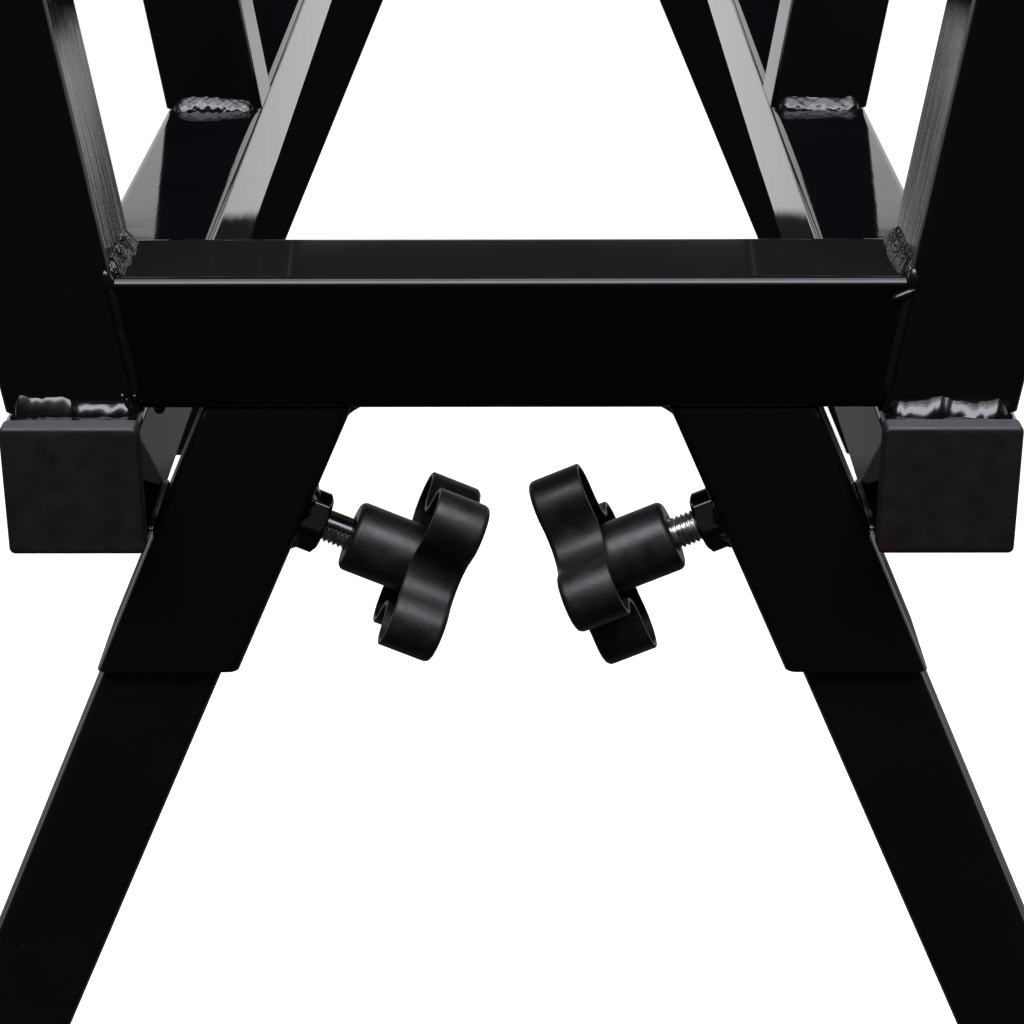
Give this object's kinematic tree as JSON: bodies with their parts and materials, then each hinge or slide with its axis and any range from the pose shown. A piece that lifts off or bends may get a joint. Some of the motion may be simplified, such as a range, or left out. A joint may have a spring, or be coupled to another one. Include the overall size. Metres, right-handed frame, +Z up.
{
  "type": "log sawhorse",
  "caption": "Welded steel log sawhorse: rails carry leaning uprights that cradle a stack of logs for sawing, on splayed legs clamped in sockets by star knobs.",
  "frame": {"origin": "on the floor, under the middle of the sawhorse", "axes": "+X across the sawhorse to the right as the picture shows it, +Y along the rails away from the viewer, +Z up"},
  "size_m": [0.5664, 1.1077, 0.9532],
  "materials": {
    "frame_paint": "gloss",
    "leg_paint": "gloss",
    "weld_paint": "gloss",
    "cap_plastic": "satin",
    "knob_plastic": "satin",
    "zinc_steel": "zinc plated"
  },
  "bodies": {
    "frame": {"rail_left": "frame_paint", "rail_right": "frame_paint", "rail_cap_front_left": "cap_plastic", "rail_cap_front_right": "cap_plastic", "rail_cap_rear_left": "cap_plastic", "rail_cap_rear_right": "cap_plastic", "upright_front_left": "frame_paint", "upright_cap_front_left": "cap_plastic", "upright_front_right": "frame_paint", "upright_cap_front_right": "cap_plastic", "upright_second_left": "frame_paint", "upright_cap_second_left": "cap_plastic", "upright_second_right": "frame_paint", "upright_cap_second_right": "cap_plastic", "upright_third_left": "frame_paint", "upright_cap_third_left": "cap_plastic", "upright_third_right": "frame_paint", "upright_cap_third_right": "cap_plastic", "upright_rear_left": "frame_paint", "upright_cap_rear_left": "cap_plastic", "upright_rear_right": "frame_paint", "upright_cap_rear_right": "cap_plastic", "crossbar_front": "frame_paint", "crossbar_rear": "frame_paint", "leg_socket_front_left": "frame_paint", "weld_nut_front_left": "frame_paint", "leg_socket_front_right": "frame_paint", "weld_nut_front_right": "frame_paint", "leg_socket_rear_left": "frame_paint", "weld_nut_rear_left": "frame_paint", "leg_socket_rear_right": "frame_paint", "weld_nut_rear_right": "frame_paint", "upright_foot_welds": "weld_paint", "crossbar_welds": "weld_paint", "socket_welds": "weld_paint"},
    "leg_front_left": {"leg_front_left": "leg_paint", "leg_foot_front_left": "cap_plastic"},
    "clamp_stud_front_left": {"clamp_stud_front_left": "zinc_steel"},
    "star_knob_front_left": {"star_knob_front_left": "knob_plastic"},
    "leg_front_right": {"leg_front_right": "leg_paint", "leg_foot_front_right": "cap_plastic"},
    "clamp_stud_front_right": {"clamp_stud_front_right": "zinc_steel"},
    "star_knob_front_right": {"star_knob_front_right": "knob_plastic"},
    "leg_rear_left": {"leg_rear_left": "leg_paint", "leg_foot_rear_left": "cap_plastic"},
    "clamp_stud_rear_left": {"clamp_stud_rear_left": "zinc_steel"},
    "star_knob_rear_left": {"star_knob_rear_left": "knob_plastic"},
    "leg_rear_right": {"leg_rear_right": "leg_paint", "leg_foot_rear_right": "cap_plastic"},
    "clamp_stud_rear_right": {"clamp_stud_rear_right": "zinc_steel"},
    "star_knob_rear_right": {"star_knob_rear_right": "knob_plastic"}
  },
  "joints": [
    {"name": "leg_slide_front_left", "type": "slide", "parent": "frame", "child": "leg_front_left", "axis": [-0.3971, 0, -0.9178], "range_m": [0, 0.03]},
    {"name": "stud_travel_front_left", "type": "slide", "parent": "frame", "child": "clamp_stud_front_left", "axis": [0.9178, 0, -0.3971], "range_m": [0, 0.00601]},
    {"name": "knob_turn_front_left", "type": "hinge", "parent": "clamp_stud_front_left", "child": "star_knob_front_left", "pos_m": [-0.06462, -0.522, 0.40873], "axis": [0.9178, 0, -0.3971], "range_deg": [0, 1440]},
    {"name": "leg_slide_front_right", "type": "slide", "parent": "frame", "child": "leg_front_right", "axis": [0.3971, 0, -0.9178], "range_m": [0, 0.03]},
    {"name": "stud_travel_front_right", "type": "slide", "parent": "frame", "child": "clamp_stud_front_right", "axis": [-0.9178, 0, -0.3971], "range_m": [0, 0.00601]},
    {"name": "knob_turn_front_right", "type": "hinge", "parent": "clamp_stud_front_right", "child": "star_knob_front_right", "pos_m": [0.06462, -0.522, 0.40873], "axis": [-0.9178, 0, -0.3971], "range_deg": [0, 1440]},
    {"name": "leg_slide_rear_left", "type": "slide", "parent": "frame", "child": "leg_rear_left", "axis": [-0.3971, 0, -0.9178], "range_m": [0, 0.03]},
    {"name": "stud_travel_rear_left", "type": "slide", "parent": "frame", "child": "clamp_stud_rear_left", "axis": [0.9178, 0, -0.3971], "range_m": [0, 0.00601]},
    {"name": "knob_turn_rear_left", "type": "hinge", "parent": "clamp_stud_rear_left", "child": "star_knob_rear_left", "pos_m": [-0.06462, 0.522, 0.40873], "axis": [0.9178, 0, -0.3971], "range_deg": [0, 1440]},
    {"name": "leg_slide_rear_right", "type": "slide", "parent": "frame", "child": "leg_rear_right", "axis": [0.3971, 0, -0.9178], "range_m": [0, 0.03]},
    {"name": "stud_travel_rear_right", "type": "slide", "parent": "frame", "child": "clamp_stud_rear_right", "axis": [-0.9178, 0, -0.3971], "range_m": [0, 0.00601]},
    {"name": "knob_turn_rear_right", "type": "hinge", "parent": "clamp_stud_rear_right", "child": "star_knob_rear_right", "pos_m": [0.06462, 0.522, 0.40873], "axis": [-0.9178, 0, -0.3971], "range_deg": [0, 1440]}
  ],
  "couplings": [
    {"joint": "stud_travel_front_left", "follows": "knob_turn_front_left", "m_per_rad": 0.00023873},
    {"joint": "stud_travel_front_right", "follows": "knob_turn_front_right", "m_per_rad": 0.00023873},
    {"joint": "stud_travel_rear_left", "follows": "knob_turn_rear_left", "m_per_rad": 0.00023873},
    {"joint": "stud_travel_rear_right", "follows": "knob_turn_rear_right", "m_per_rad": 0.00023873}
  ]
}
